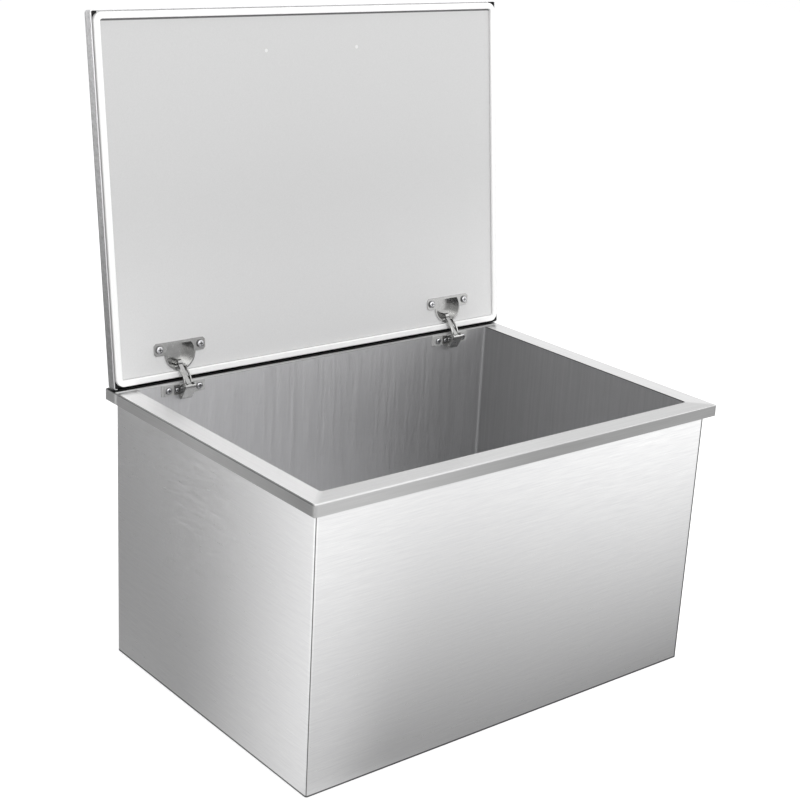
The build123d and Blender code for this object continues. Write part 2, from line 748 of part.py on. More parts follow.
for name, hinge_x in zip(("left", "right"), hinge_places):
    # Wing plate, screwed flat to the well's back wall
    with BuildPart() as wing_plate:
        with BuildSketch(Plane.XZ.offset(-well_back)):
            with Locations((hinge_x, arm_foot_middle)):
                RectangleRounded(2 * wing_half_length, wing_height, wing_corner_radius)
        extrude(amount=wing_sheet)
        with BuildSketch(Plane.XZ.offset(-well_back)):
            with Locations((hinge_x, arm_foot_middle)):
                RectangleRounded(2 * wing_raised_half_length, wing_height, wing_corner_radius)
        extrude(amount=wing_raised)
        with BuildSketch(Plane.XZ.offset(overrun - well_back)):
            with Locations((hinge_x, arm_foot_middle + wing_height / 2)):
                Rectangle(2 * arm_near, 2 * wing_notch_depth)
            for end in (-1, 1):
                with Locations((hinge_x + end * wing_screw_half_spacing, arm_foot_middle)):
                    Circle(wing_screw_radius + thread_clearance)
                with Locations((hinge_x + end * (arm_far + arm_foot_width / 2), arm_foot_middle)):
                    Circle(arm_screw_radius + thread_clearance)
        extrude(amount=-wing_raised - 2 * overrun, mode=Mode.SUBTRACT)
    finish(wing_plate, f"{name}_wing_plate")

    # Arm: a channel with two side walls, a front skin and two feet on the wing plate
    with BuildPart() as hinge_arm:
        with BuildSketch(Plane.YZ.offset(hinge_x - arm_far)):
            with Locations(outer_pivot):
                Circle(outer_nose + arm_skin)
            with Locations(inner_pivot):
                Circle(inner_nose + arm_skin)
            with Locations(arm_seat_top, arm_seat_foot):
                Circle(arm_seat_round)
            make_hull()
        extrude(amount=2 * arm_far)
        with BuildSketch(Plane.YZ.offset(hinge_x - arm_near)):
            with Locations(outer_pivot):
                Circle(outer_nose)
            with Locations(inner_pivot):
                Circle(inner_nose)
            with Locations((well_back, rim_top + inner_knee_up)):
                Circle(arm_seat_round)
            with Locations((well_back, outer_pivot[1] - outer_nose + arm_seat_round)):
                Circle(arm_seat_round)
            with Locations((inner_pivot[0], rim_top + inner_knee_up)):
                Circle(inner_nose)
            make_hull()
        extrude(amount=2 * arm_near, mode=Mode.SUBTRACT)
        with BuildSketch(Plane.XZ.offset(wing_face - well_back)):
            for end in (-1, 1):
                with Locations((hinge_x + end * (arm_far + arm_foot_width / 2), arm_foot_middle)):
                    Rectangle(arm_foot_width + arm_wall, wing_height - 2 * wing_corner_radius)
            for end in (-1, 1):
                with Locations((hinge_x + end * (arm_far + arm_foot_width / 2), arm_foot_middle)):
                    Circle(arm_screw_radius + thread_clearance, mode=Mode.SUBTRACT)
        extrude(amount=arm_foot_sheet)
        with BuildSketch(Plane.YZ.offset(hinge_x - arm_far - overrun)):
            with Locations(outer_pivot, inner_pivot):
                Circle(pin_radius)
        extrude(amount=2 * (arm_far + overrun), mode=Mode.SUBTRACT)
    finish(hinge_arm, f"{name}_hinge_arm")

    # Outer link: two curved cheeks on one barrel
    with BuildPart() as outer_link:
        with BuildSketch(
            Plane.YZ.offset(hinge_x - cheek_far),
            Plane.YZ.offset(hinge_x + cheek_near),
        ):
            SlotArc(outer_spine, link_width)
            with Locations(outer_pivot, cup_outer_pivot):
                Circle(link_eye_radius)
        extrude(amount=cheek_thickness)
        with BuildSketch(Plane.YZ.offset(hinge_x - cheek_far)):
            with Locations(outer_pivot):
                Circle(link_eye_radius)
        extrude(amount=2 * cheek_far)
        with BuildSketch(Plane.YZ.offset(hinge_x - cheek_far - overrun)):
            with Locations(outer_pivot, cup_outer_pivot):
                Circle(bore_radius)
        extrude(amount=2 * (cheek_far + overrun), mode=Mode.SUBTRACT)
    finish(outer_link, f"{name}_outer_link")

    # Inner link: one bent bar, whose far eye is wide where it runs on the cup's pin
    with BuildPart() as inner_link:
        with BuildSketch(Plane.YZ.offset(hinge_x - inner_bar_half_width)):
            with BuildLine():
                Polyline(inner_pivot, inner_knee, cup_inner_pivot)
            trace(line_width=link_width)
            with Locations(inner_knee):
                Circle(link_width / 2)
            with Locations(inner_pivot):
                Circle(inner_eye_radius)
            with Locations(cup_inner_pivot):
                Circle(free_eye_radius)
            with Locations(inner_pivot):
                Circle(bore_radius, mode=Mode.SUBTRACT)
            with Locations(cup_inner_pivot):
                Circle(free_eye_bore, mode=Mode.SUBTRACT)
        extrude(amount=2 * inner_bar_half_width)
    finish(inner_link, f"{name}_inner_link")

    # Hinge cup: round well with a flat top, eared plate, and tabs that hold the two pins
    with BuildPart() as hinge_cup:
        with BuildSketch(inside(cup_depth)):
            cup_outline([hinge_x], cup_radius, cup_flat_up + cup_wall)
        extrude(amount=cup_depth)
        with BuildSketch(lid_plane):
            cup_outline([hinge_x], cup_flange_radius, ear_top)
            with Locations((hinge_x, ear_up)):
                Rectangle(ear_spacing + 2 * ear_end, ear_height)
        extrude(amount=ear_thickness)
        ear_corners = hinge_cup.edges().filter_by(lid_axis).filter_by(
            lambda edge: abs(edge.center().X - hinge_x) > ear_spacing / 2
        )
        chamfer(ear_corners, ear_chamfer)
        with BuildSketch(inside(cup_floor)):
            cup_outline([hinge_x], cup_radius - cup_wall, cup_flat_up)
        extrude(amount=cup_depth + overrun, mode=Mode.SUBTRACT)
        with BuildSketch(
            Plane.YZ.offset(hinge_x - inner_tab_far),
            Plane.YZ.offset(hinge_x + inner_tab_near),
        ):
            with BuildLine():
                Polyline(
                    on_lid(cup_inner_pivot_up - cup_tab_eye_radius, cup_floor),
                    on_lid(cup_inner_pivot_up - cup_tab_eye_radius, cup_inner_pivot_in),
                    on_lid(cup_inner_pivot_up + cup_tab_eye_radius, cup_inner_pivot_in),
                    on_lid(cup_inner_pivot_up + cup_tab_eye_radius, cup_floor),
                    close=True,
                )
            make_face()
            with Locations(cup_inner_pivot):
                Circle(cup_tab_eye_radius)
        extrude(amount=cup_tab_thickness)
        with BuildSketch(
            Plane.YZ.offset(hinge_x - arm_far),
            Plane.YZ.offset(hinge_x + arm_near),
        ):
            with BuildLine():
                Polyline(
                    on_lid(cup_outer_pivot_up - cup_tab_eye_radius / 2, cup_floor),
                    on_lid(cup_outer_pivot_up - cup_tab_eye_radius / 2, cup_outer_pivot_in),
                    on_lid(cup_outer_pivot_up + cup_tab_eye_radius, cup_outer_pivot_in),
                    on_lid(cup_outer_pivot_up + cup_tab_eye_radius, cup_floor),
                    close=True,
                )
            make_face()
            with Locations(cup_outer_pivot):
                Circle(cup_tab_eye_radius)
        extrude(amount=arm_wall)
        with BuildSketch(inside(cup_relief_depth)):
            with Locations((hinge_x, cup_centre_up - cup_radius + cup_wall)):
                Rectangle(2 * (cheek_far + cheek_gap), 2 * link_eye_radius)
        extrude(amount=cup_relief_depth + ear_thickness + overrun, mode=Mode.SUBTRACT)
        with BuildSketch(Plane.YZ.offset(hinge_x - arm_far - overrun)):
            with Locations(cup_outer_pivot, cup_inner_pivot):
                Circle(pin_radius)
        extrude(amount=2 * (arm_far + overrun), mode=Mode.SUBTRACT)
        with BuildSketch(lid_plane):
            for end in (-1, 1):
                with Locations((hinge_x + end * ear_spacing / 2, ear_up)):
                    Circle(ear_screw_radius)
        extrude(amount=ear_thickness + overrun, mode=Mode.SUBTRACT)
    finish(hinge_cup, f"{name}_hinge_cup")

# Pins of both hinges: long rivets in the arms
with BuildPart() as arm_pins:
    for hinge_x in hinge_places:
        with BuildSketch(Plane.YZ.offset(hinge_x - arm_far)):
            with Locations(outer_pivot, inner_pivot):
                Circle(pin_radius)
        extrude(amount=2 * arm_far)
        with BuildSketch(
            Plane.YZ.offset(hinge_x - arm_far - pin_head_thickness),
            Plane.YZ.offset(hinge_x + arm_far),
        ):
            with Locations(outer_pivot, inner_pivot):
                Circle(pin_head_radius)
        extrude(amount=pin_head_thickness)
finish(arm_pins, "arm_pins")

# Pins in the cups: a short rivet through each outer tab, and one pin between the inner tabs
with BuildPart() as cup_pins:
    for hinge_x in hinge_places:
        for near, far in ((-arm_far, -cheek_near), (cheek_near, arm_far), (-inner_tab_far, inner_tab_far)):
            through = cup_inner_pivot if near == -inner_tab_far else cup_outer_pivot
            with BuildSketch(Plane.YZ.offset(hinge_x + near)):
                with Locations(through):
                    Circle(pin_radius)
            extrude(amount=far - near)
finish(cup_pins, "cup_pins")


def wall_screws(offsets, shank, shank_length, head, head_height, seat):
    """Makes the screws that are driven into the well's back wall beside each hinge."""
    with BuildPart() as group:
        with BuildSketch(Plane.XZ.offset(seat - well_back)):
            for hinge_x in hinge_places:
                for step in offsets:
                    with Locations((hinge_x + step, arm_foot_middle)):
                        Circle(head)
        extrude(amount=head_height)
        fillet(group.faces().group_by(Axis.Y)[0].edges(), head_height / 2)
        with BuildSketch(Plane.XZ.offset(seat - well_back)):
            for hinge_x in hinge_places:
                for step in offsets:
                    with Locations((hinge_x + step, arm_foot_middle)):
                        Circle(shank)
        extrude(amount=-shank_length)
    return group


wing_screws = wall_screws(
    (-wing_screw_half_spacing, wing_screw_half_spacing),
    wing_screw_radius,
    wing_screw_length,
    wing_head_radius,
    wing_head_height,
    wing_raised,
)
finish(wing_screws, "wing_screws")

arm_screw_step = arm_far + arm_foot_width / 2
arm_screws = wall_screws(
    (-arm_screw_step, arm_screw_step),
    arm_screw_radius,
    arm_screw_length,
    arm_head_radius,
    arm_head_height,
    wing_raised + arm_foot_sheet,
)
finish(arm_screws, "arm_screws")
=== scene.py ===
from math import cos, pi, radians, sin

import bpy
from mathutils import Matrix, Vector


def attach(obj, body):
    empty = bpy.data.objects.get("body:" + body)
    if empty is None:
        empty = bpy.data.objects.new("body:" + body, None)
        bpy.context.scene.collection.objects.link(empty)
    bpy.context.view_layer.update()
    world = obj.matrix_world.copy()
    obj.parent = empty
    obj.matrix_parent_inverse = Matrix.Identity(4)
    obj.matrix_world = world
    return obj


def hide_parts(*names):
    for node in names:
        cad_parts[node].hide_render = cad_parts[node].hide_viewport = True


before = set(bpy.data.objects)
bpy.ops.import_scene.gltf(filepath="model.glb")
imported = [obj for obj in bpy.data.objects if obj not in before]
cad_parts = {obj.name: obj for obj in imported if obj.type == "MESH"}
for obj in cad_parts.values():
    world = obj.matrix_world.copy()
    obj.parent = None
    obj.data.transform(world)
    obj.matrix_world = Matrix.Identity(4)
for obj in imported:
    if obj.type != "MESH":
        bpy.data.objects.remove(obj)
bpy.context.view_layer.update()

# Outer casing: four sides of stainless sheet, wrapped and folded in one strip.
# The sheet is brushed along its length, so fine bright lines run round the casing. Painted shade
# lines the folds, widest at the right and along the foot, and a painted shadow lies close under the rim.
casing_half_length = 0.246
casing_half_depth = 0.170
fold_shade_width = 0.0012
fold_shade_core = 0.8 * fold_shade_width
right_widening = 0.32
foot_widening = 0.7
rim_foot = 0.278
rim_shade = 0.006
rim_gap = 0.0015


def linear(hex_colour):
    """Turns an sRGB hex colour into linear values, with full alpha."""
    parts = [int(hex_colour[i : i + 2], 16) / 255 for i in (1, 3, 5)]
    return [c / 12.92 if c <= 0.04045 else ((c + 0.055) / 1.055) ** 2.4 for c in parts] + [1.0]


def add_node(tree, kind, settings=None, inputs=None, links=None):
    """Adds one node, with its settings, its sockets' values and the links into it."""
    made = tree.nodes.new(kind)
    for key, value in (settings or {}).items():
        setattr(made, key, value)
    for key, value in (inputs or {}).items():
        made.inputs[key].default_value = value
    for key, source in (links or {}).items():
        tree.links.new(source, made.inputs[key])
    return made


def new_finish(name, metallic, roughness):
    """Starts a material and gives its node tree, its surface shader and its place coordinates."""
    finish = bpy.data.materials.new(name)
    finish.use_nodes = True
    tree = finish.node_tree
    shader = tree.nodes["Principled BSDF"]
    shader.inputs["Metallic"].default_value = metallic
    shader.inputs["Roughness"].default_value = roughness
    place = add_node(tree, "ShaderNodeTexCoord").outputs["Object"]
    return finish, tree, shader, place


def wear(node_name, finish):
    """Puts a finish on a piece that comes from the frame."""
    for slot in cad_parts[node_name].material_slots:
        slot.material = finish


def grained_steel(name, dark, light, grain, roughness, depth):
    """Brushed or rolled stainless: grain holds the length of one line along X, Y and Z in metres."""
    blotches_per_metre = 9.0
    blotch_weight = 0.12
    finish, tree, shader, place = new_finish(name, 1.0, roughness)
    lines = add_node(
        tree,
        "ShaderNodeVectorMath",
        {"operation": "DIVIDE", "name": "grain"},
        {1: grain},
        {0: place},
    )
    fine = add_node(
        tree,
        "ShaderNodeTexNoise",
        inputs={"Scale": 1.0, "Detail": 4.0, "Roughness": 0.7},
        links={"Vector": lines.outputs[0]},
    )
    broad = add_node(
        tree,
        "ShaderNodeTexNoise",
        inputs={"Scale": blotches_per_metre, "Detail": 2.0, "Roughness": 0.5},
        links={"Vector": place},
    )
    both = add_node(
        tree,
        "ShaderNodeMath",
        {"operation": "MULTIPLY_ADD"},
        {1: blotch_weight},
        {0: broad.outputs["Fac"], 2: fine.outputs["Fac"]},
    )
    tone = add_node(
        tree,
        "ShaderNodeMapRange",
        inputs={"From Min": 0.36, "From Max": 0.76},
        links={"Value": both.outputs[0]},
    )
    colour = add_node(
        tree,
        "ShaderNodeMix",
        {"data_type": "RGBA"},
        {"A": linear(dark), "B": linear(light)},
        {"Factor": tone.outputs["Result"]},
    )
    rough = add_node(
        tree,
        "ShaderNodeMapRange",
        inputs={"From Min": 0.3, "From Max": 0.7, "To Min": roughness + 0.07, "To Max": roughness - 0.05},
        links={"Value": fine.outputs["Fac"]},
    )
    bump = add_node(
        tree,
        "ShaderNodeBump",
        inputs={"Strength": 0.35, "Distance": depth},
        links={"Height": fine.outputs["Fac"]},
    )
    tree.links.new(colour.outputs["Result"], shader.inputs["Base Color"])
    tree.links.new(rough.outputs["Result"], shader.inputs["Roughness"])
    tree.links.new(bump.outputs["Normal"], shader.inputs["Normal"])
    return finish, tree, shader, place, colour


def in_from_edges(tree, place, half_length, half_depth):
    """Gives X, Y and Z apart, then the distances in from the nearer side and from the front or back."""
    apart = add_node(tree, "ShaderNodeSeparateXYZ", links={0: place})
    inward = []
    for axis, half in (("X", half_length), ("Y", half_depth)):
        out = add_node(tree, "ShaderNodeMath", {"operation": "ABSOLUTE"}, links={0: apart.outputs[axis]})
        edge = add_node(tree, "ShaderNodeMath", {"operation": "SUBTRACT"}, {0: half}, {1: out.outputs[0]})
        inward.append(edge.outputs[0])
    return apart, *inward


# One brushing line is about 0.1 mm wide on the real sheet; it is drawn 0.9 mm wide so that it shows.
casing_steel, tree, shader, place, colour = grained_steel(
    "brushed stainless, casing", "#EDEDEE", "#FAFAFA", (0.03, 0.03, 0.0009), 0.32, 0.000008
)
apart, from_side, from_front = in_from_edges(tree, place, casing_half_length, casing_half_depth)
corner = add_node(tree, "ShaderNodeMath", {"operation": "MAXIMUM"}, links={0: from_side, 1: from_front})
to_right = add_node(
    tree,
    "ShaderNodeMapRange",
    inputs={"From Min": -0.1, "From Max": 0.1, "To Min": 1.0, "To Max": right_widening},
    links={"Value": apart.outputs["X"]},
)
upright_fold = add_node(
    tree,
    "ShaderNodeMath",
    {"operation": "MULTIPLY"},
    links={0: corner.outputs[0], 1: to_right.outputs["Result"]},
)
foot_fold = add_node(
    tree, "ShaderNodeMath", {"operation": "MULTIPLY"}, {1: foot_widening}, {0: apart.outputs["Z"]}
)
nearest = add_node(
    tree,
    "ShaderNodeMath",
    {"operation": "MINIMUM"},
    links={0: upright_fold.outputs[0], 1: foot_fold.outputs[0]},
)
# Painted shade: a dark line along the casing's folds, widest at the right and along the foot.
fold_shade = add_node(
    tree,
    "ShaderNodeMapRange",
    inputs={"From Min": fold_shade_width, "From Max": fold_shade_core, "To Min": 0.0, "To Max": 0.9},
    links={"Value": nearest.outputs[0]},
)
fold_shaded = add_node(
    tree,
    "ShaderNodeMix",
    {"data_type": "RGBA"},
    {"B": linear("#3C3C3E")},
    {"Factor": fold_shade.outputs["Result"], "A": colour.outputs["Result"]},
)
# Painted shadow: the casing is darkened close under the rim's lip.
under_rim_shadow = add_node(
    tree,
    "ShaderNodeMapRange",
    {"interpolation_type": "SMOOTHSTEP"},
    {"From Min": rim_foot - rim_shade, "From Max": rim_foot - rim_gap, "To Min": 1.0, "To Max": 0.62},
    {"Value": apart.outputs["Z"]},
)
polished = add_node(
    tree,
    "ShaderNodeVectorMath",
    {"operation": "SCALE"},
    links={0: fold_shaded.outputs["Result"], "Scale": under_rim_shadow.outputs["Result"]},
)
tree.links.new(polished.outputs[0], shader.inputs["Base Color"])
wear("outer_casing", casing_steel)

# Base pan: galvanised sheet, turned up inside the foot of the casing.
# Zinc cools in large flat crystals, so its grey is patched and dull.
crystals_per_metre = 110.0
galvanised, tree, shader, place = new_finish("galvanised steel, base pan", 0.9, 0.48)
crystals = add_node(
    tree, "ShaderNodeTexVoronoi", inputs={"Scale": crystals_per_metre}, links={"Vector": place}
)
patch = add_node(tree, "ShaderNodeSeparateColor", links={"Color": crystals.outputs["Color"]})
zinc = add_node(
    tree,
    "ShaderNodeMix",
    {"data_type": "RGBA"},
    {"A": linear("#9C9FA3"), "B": linear("#C3C6C9")},
    {"Factor": patch.outputs["Red"]},
)
dull = add_node(
    tree,
    "ShaderNodeMapRange",
    inputs={"To Min": 0.4, "To Max": 0.58},
    links={"Value": patch.outputs["Green"]},
)
tree.links.new(zinc.outputs["Result"], shader.inputs["Base Color"])
tree.links.new(dull.outputs["Result"], shader.inputs["Roughness"])
wear("base_pan", galvanised)
wear("wall_backing_plates", galvanised)
wear("lid_backing_plates", galvanised)

# Foam: rigid polyurethane, poured between the casing and the liner and inside the lid.
# It is cream with a fine closed cell, and hidden when the bin is whole.
# A real cell is about 0.3 mm; it is drawn 1.1 mm wide so that it shows.
cells_per_metre = 900.0
cell_depth = 0.0003
foam, tree, shader, place = new_finish("polyurethane foam", 0.0, 0.9)
cells = add_node(tree, "ShaderNodeTexVoronoi", inputs={"Scale": cells_per_metre}, links={"Vector": place})
cream = add_node(
    tree,
    "ShaderNodeMix",
    {"data_type": "RGBA"},
    {"A": linear("#E9DDB4"), "B": linear("#D3C494")},
    {"Factor": cells.outputs["Distance"]},
)
pits = add_node(
    tree,
    "ShaderNodeBump",
    inputs={"Strength": 0.5, "Distance": cell_depth},
    links={"Height": cells.outputs["Distance"]},
)
tree.links.new(cream.outputs["Result"], shader.inputs["Base Color"])
tree.links.new(pits.outputs["Normal"], shader.inputs["Normal"])
wear("body_foam", foam)
wear("lid_foam", foam)

# Well liner: a seamless tub of cold-rolled stainless with small corners and a rounded floor.
# The rolled finish is matt with a faint upright grain. The two end walls are darkened by painted
# shade, and painted shade darkens the liner from its middle to the right, so the back wall is brightest at
# its left.
well_half_length = 0.232
end_wall_shade_width = 0.003
liner_steel, tree, shader, place, colour = grained_steel(
    "rolled stainless, liner", "#E6E6E7", "#F0F0F1", (0.0035, 0.0035, 0.12), 0.5, 0.000006
)
apart = add_node(tree, "ShaderNodeSeparateXYZ", links={0: place})
across = add_node(tree, "ShaderNodeMath", {"operation": "ABSOLUTE"}, links={0: apart.outputs["X"]})
# Painted shade: the end walls are darkened within 3 mm of each end.
end_wall_shade = add_node(
    tree,
    "ShaderNodeMapRange",
    inputs={
        "From Min": well_half_length - end_wall_shade_width,
        "From Max": well_half_length,
        "To Min": 1.0,
        "To Max": 0.68,
    },
    links={"Value": across.outputs[0]},
)
# Painted shade: the liner darkens from its middle towards the right.
right_shade = add_node(
    tree,
    "ShaderNodeMapRange",
    {"interpolation_type": "SMOOTHSTEP"},
    {"From Min": 0.0, "From Max": 0.2, "To Min": 1.0, "To Max": 0.74},
    {"Value": apart.outputs["X"]},
)
wall_tone = add_node(
    tree,
    "ShaderNodeMath",
    {"operation": "MULTIPLY"},
    links={0: end_wall_shade.outputs["Result"], 1: right_shade.outputs["Result"]},
)
liner_shaded = add_node(
    tree,
    "ShaderNodeVectorMath",
    {"operation": "SCALE"},
    links={0: colour.outputs["Result"], "Scale": wall_tone.outputs[0]},
)
tree.links.new(liner_shaded.outputs[0], shader.inputs["Base Color"])
wear("well_liner", liner_steel)

# Rim frame: heavier stainless, folded over the casing's top. Each bar is brushed along its own
# length, so the grain turns where bars meet. Painted shade darkens the long bars, more so towards
# the right, and the right bar is darker. The turned-down lip keeps a darker finish, with painted
# shade graded along each bar. Painted shade lines the end bars' top bend, and a painted shadow
# lies on the bar under the lid.
rim_half_length = 0.254
rim_half_depth = 0.178
rim_top = 0.290
well_back = 0.1555
lid_front = 0.1597
lid_back = 0.1755
bar_blend = 0.004
lip_start = 0.0001
lip_full = 0.0012
bend_depth = 0.0008
bend_reach = 0.0007
bend_line = 0.75
# The rim's lines are as fine as the casing's, and are drawn 1.8 mm wide so that they show.
along_depth = (0.0018, 0.09, 0.0018)
along_length = (0.09, 0.0018, 0.0018)
rim_steel, tree, shader, place, colour = grained_steel(
    "satin stainless, rim", "#F2F2F2", "#FCFCFC", along_length, 0.36, 0.000006
)
apart, from_side, from_front = in_from_edges(tree, place, rim_half_length, rim_half_depth)
past_corner = add_node(
    tree, "ShaderNodeMath", {"operation": "SUBTRACT"}, links={0: from_side, 1: from_front}
)
long_bar = add_node(
    tree,
    "ShaderNodeMapRange",
    inputs={"From Min": -bar_blend, "From Max": bar_blend},
    links={"Value": past_corner.outputs[0]},
)
streak_size = add_node(
    tree,
    "ShaderNodeMix",
    {"data_type": "VECTOR"},
    {"A": along_depth, "B": along_length},
    {"Factor": long_bar.outputs["Result"]},
)
tree.links.new(streak_size.outputs["Result"], tree.nodes["grain"].inputs[1])
# Painted shade: the long bars are darker than the end bars and darken further towards the right.
long_bar_shade = add_node(
    tree,
    "ShaderNodeMix",
    {"data_type": "RGBA", "blend_type": "MULTIPLY"},
    {"B": linear("#E6E6E6")},
    {"Factor": long_bar.outputs["Result"], "A": colour.outputs["Result"]},
)
far_end_shade = add_node(
    tree,
    "ShaderNodeMapRange",
    inputs={"From Min": -0.14, "From Max": 0.04, "To Min": 1.0, "To Max": 0.82},
    links={"Value": apart.outputs["X"]},
)
right_bar = add_node(
    tree,
    "ShaderNodeMapRange",
    inputs={"From Min": 0.21, "From Max": 0.23, "To Min": 1.0, "To Max": 0.82},
    links={"Value": apart.outputs["X"]},
)
darker_far_and_right = add_node(
    tree,
    "ShaderNodeMix",
    {"data_type": "FLOAT"},
    links={
        "Factor": long_bar.outputs["Result"],
        "A": right_bar.outputs["Result"],
        "B": far_end_shade.outputs["Result"],
    },
)
brushed = add_node(
    tree,
    "ShaderNodeVectorMath",
    {"operation": "SCALE"},
    links={0: long_bar_shade.outputs["Result"], "Scale": darker_far_and_right.outputs["Result"]},
)
lip = add_node(
    tree,
    "ShaderNodeMapRange",
    inputs={"From Min": rim_top - lip_start, "From Max": rim_top - lip_full},
    links={"Value": apart.outputs["Z"]},
)
# The lip is darker than the top: its own finish, with painted shade graded along the front and side bars.
front_lip_shade = add_node(
    tree,
    "ShaderNodeMapRange",
    inputs={"From Min": -0.2, "From Max": 0.0, "To Min": 0.72, "To Max": 0.55},
    links={"Value": apart.outputs["X"]},
)
side_lip_shade = add_node(
    tree,
    "ShaderNodeMapRange",
    inputs={"From Min": -0.16, "From Max": 0.0, "To Min": 0.29, "To Max": 0.62},
    links={"Value": apart.outputs["Y"]},
)
lip_finish_and_shade = add_node(
    tree,
    "ShaderNodeMix",
    {"data_type": "FLOAT"},
    links={
        "Factor": long_bar.outputs["Result"],
        "A": side_lip_shade.outputs["Result"],
        "B": front_lip_shade.outputs["Result"],
    },
)
lip_tone = add_node(
    tree,
    "ShaderNodeMix",
    {"data_type": "RGBA", "blend_type": "MULTIPLY"},
    links={"Factor": lip.outputs["Result"], "A": brushed.outputs[0], "B": lip_finish_and_shade.outputs["Result"]},
)
# Painted shade: a dark line along the top bend of the end bars.
bend = add_node(
    tree,
    "ShaderNodeMath",
    {"operation": "COMPARE"},
    {1: rim_top - bend_depth, 2: bend_reach},
    {0: apart.outputs["Z"]},
)
end_bar = add_node(
    tree, "ShaderNodeMath", {"operation": "SUBTRACT"}, {0: bend_line}, {1: long_bar.outputs["Result"]}
)
end_bend_shade = add_node(
    tree,
    "ShaderNodeMath",
    {"operation": "MULTIPLY", "use_clamp": True},
    links={0: bend.outputs[0], 1: end_bar.outputs[0]},
)
bend_shaded = add_node(
    tree,
    "ShaderNodeMix",
    {"data_type": "RGBA"},
    {"B": linear("#303031")},
    {"Factor": end_bend_shade.outputs[0], "A": lip_tone.outputs["Result"]},
)
# Painted shadow: the top of the bar under the lid is darkened nearly black.
under_lid = add_node(
    tree,
    "ShaderNodeMath",
    {"operation": "COMPARE"},
    {1: (lid_front + lid_back) / 2, 2: (lid_back - lid_front) / 2},
    {0: apart.outputs["Y"]},
)
on_top = add_node(
    tree,
    "ShaderNodeMath",
    {"operation": "GREATER_THAN"},
    {1: rim_top - bend_depth},
    {0: apart.outputs["Z"]},
)
painted_shadow = add_node(
    tree,
    "ShaderNodeMath",
    {"operation": "MULTIPLY"},
    links={0: under_lid.outputs[0], 1: on_top.outputs[0]},
)
shadowed = add_node(
    tree,
    "ShaderNodeMix",
    {"data_type": "RGBA"},
    {"B": linear("#080808")},
    {"Factor": painted_shadow.outputs[0], "A": bend_shaded.outputs["Result"]},
)
edge_strip = add_node(
    tree,
    "ShaderNodeMath",
    {"operation": "COMPARE"},
    {1: (well_back + lid_front) / 2, 2: (lid_front - well_back) / 2},
    {0: apart.outputs["Y"]},
)
shine = add_node(
    tree,
    "ShaderNodeMapRange",
    inputs={"To Min": 1.0, "To Max": 0.15},
    links={"Value": edge_strip.outputs[0]},
)
tree.links.new(shadowed.outputs["Result"], shader.inputs["Base Color"])
tree.links.new(shine.outputs["Result"], shader.inputs["Metallic"])
wear("rim_frame", rim_steel)

# Drain: a turned stainless fitting, clamped through the liner's floor by a brass nut,
# with rubber washers above and below. The stopper is moulded in the same black rubber.
rubber_grit = 0.0001


def mottled(name, metallic, roughness, dark, light, patches_per_metre, detail):
    """Two close tones in soft patches, as rubber, plating and matt sheet have."""
    finish, tree, shader, place = new_finish(name, metallic, roughness)
    patches = add_node(
        tree,
        "ShaderNodeTexNoise",
        {"name": "patches"},
        {"Scale": patches_per_metre, "Detail": detail},
        {"Vector": place},
    )
    colour = add_node(
        tree,
        "ShaderNodeMix",
        {"data_type": "RGBA"},
        {"A": linear(dark), "B": linear(light)},
        {"Factor": patches.outputs["Fac"]},
    )
    tree.links.new(colour.outputs["Result"], shader.inputs["Base Color"])
    return finish, tree, shader, place, colour


turned_steel = grained_steel(
    "turned stainless, drain", "#B9B9BB", "#D6D6D8", (0.004, 0.004, 0.0005), 0.25, 0.00001
)[0]
wear("drain_body", turned_steel)
rubber, tree, shader = mottled("nitrile rubber", 0.0, 0.62, "#1B1B1C", "#2B2B2C", 160.0, 5.0)[:3]
grit = add_node(
    tree,
    "ShaderNodeBump",
    inputs={"Strength": 0.3, "Distance": rubber_grit},
    links={"Height": tree.nodes["patches"].outputs["Fac"]},
)
tree.links.new(grit.outputs["Normal"], shader.inputs["Normal"])
wear("drain_gasket", rubber)
wear("drain_washer", rubber)
wear("drain_plug", rubber)
brass = mottled("machined brass, drain nut", 1.0, 0.32, "#B8964E", "#D9BB74", 120.0, 3.0)[0]
wear("drain_nut", brass)

# Hinges: pressed steel arms, links, wing plates and cups, nickel plated in one bath.
# The plating is a bright warm grey, a little clouded, and smoother than the brushed sheets.
# The wing plates lie flat on the wall and get a lighter, less metallic copy of the plating as painted light.
nickel, tree, shader = mottled("nickel-plated steel, hinges", 1.0, 0.24, "#A2A2A1", "#BFBFBE", 220.0, 3.0)[:3]
clouded = add_node(
    tree,
    "ShaderNodeMapRange",
    inputs={"To Min": 0.18, "To Max": 0.32},
    links={"Value": tree.nodes["patches"].outputs["Fac"]},
)
tree.links.new(clouded.outputs["Result"], shader.inputs["Roughness"])
# Painted light: a lighter, less metallic copy of the plating for the wing plates, which sit in shade.
lit_plate_nickel = mottled("nickel-plated steel, wing plates", 0.4, 0.4, "#C4C4C3", "#DADAD9", 260.0, 3.0)[0]
for side in ("left", "right"):
    for part in ("hinge_arm", "outer_link", "inner_link", "hinge_cup"):
        wear(f"{side}_{part}", nickel)
    wear(f"{side}_wing_plate", lit_plate_nickel)
wear("arm_pins", nickel)
wear("cup_pins", nickel)

# Lid shell: a pressed stainless pan with rounded outer edges and a plain lip, painted light as a highlight.
# Its sides were rubbed down by hand after the corners were closed, so they look mottled. Painted
# shade darkens it towards the hinges, and a painted shadow lies on the lip of the hinge edge.
lean = radians(6.6)
hinge_edge = Vector((0, 0.1597, 0.2921))
up_lid = Vector((0, sin(lean), cos(lean)))
into_well = Vector((0, -cos(lean), sin(lean)))
side_wall = 0.2525
shadow_end_across = 0.2505
hinge_lip_height = 0.0038
hinge_shadow_depth = 0.0025
hinge_shadow_strength = 0.97
lip_thickness = 0.0009
lip_edge = 0.0003
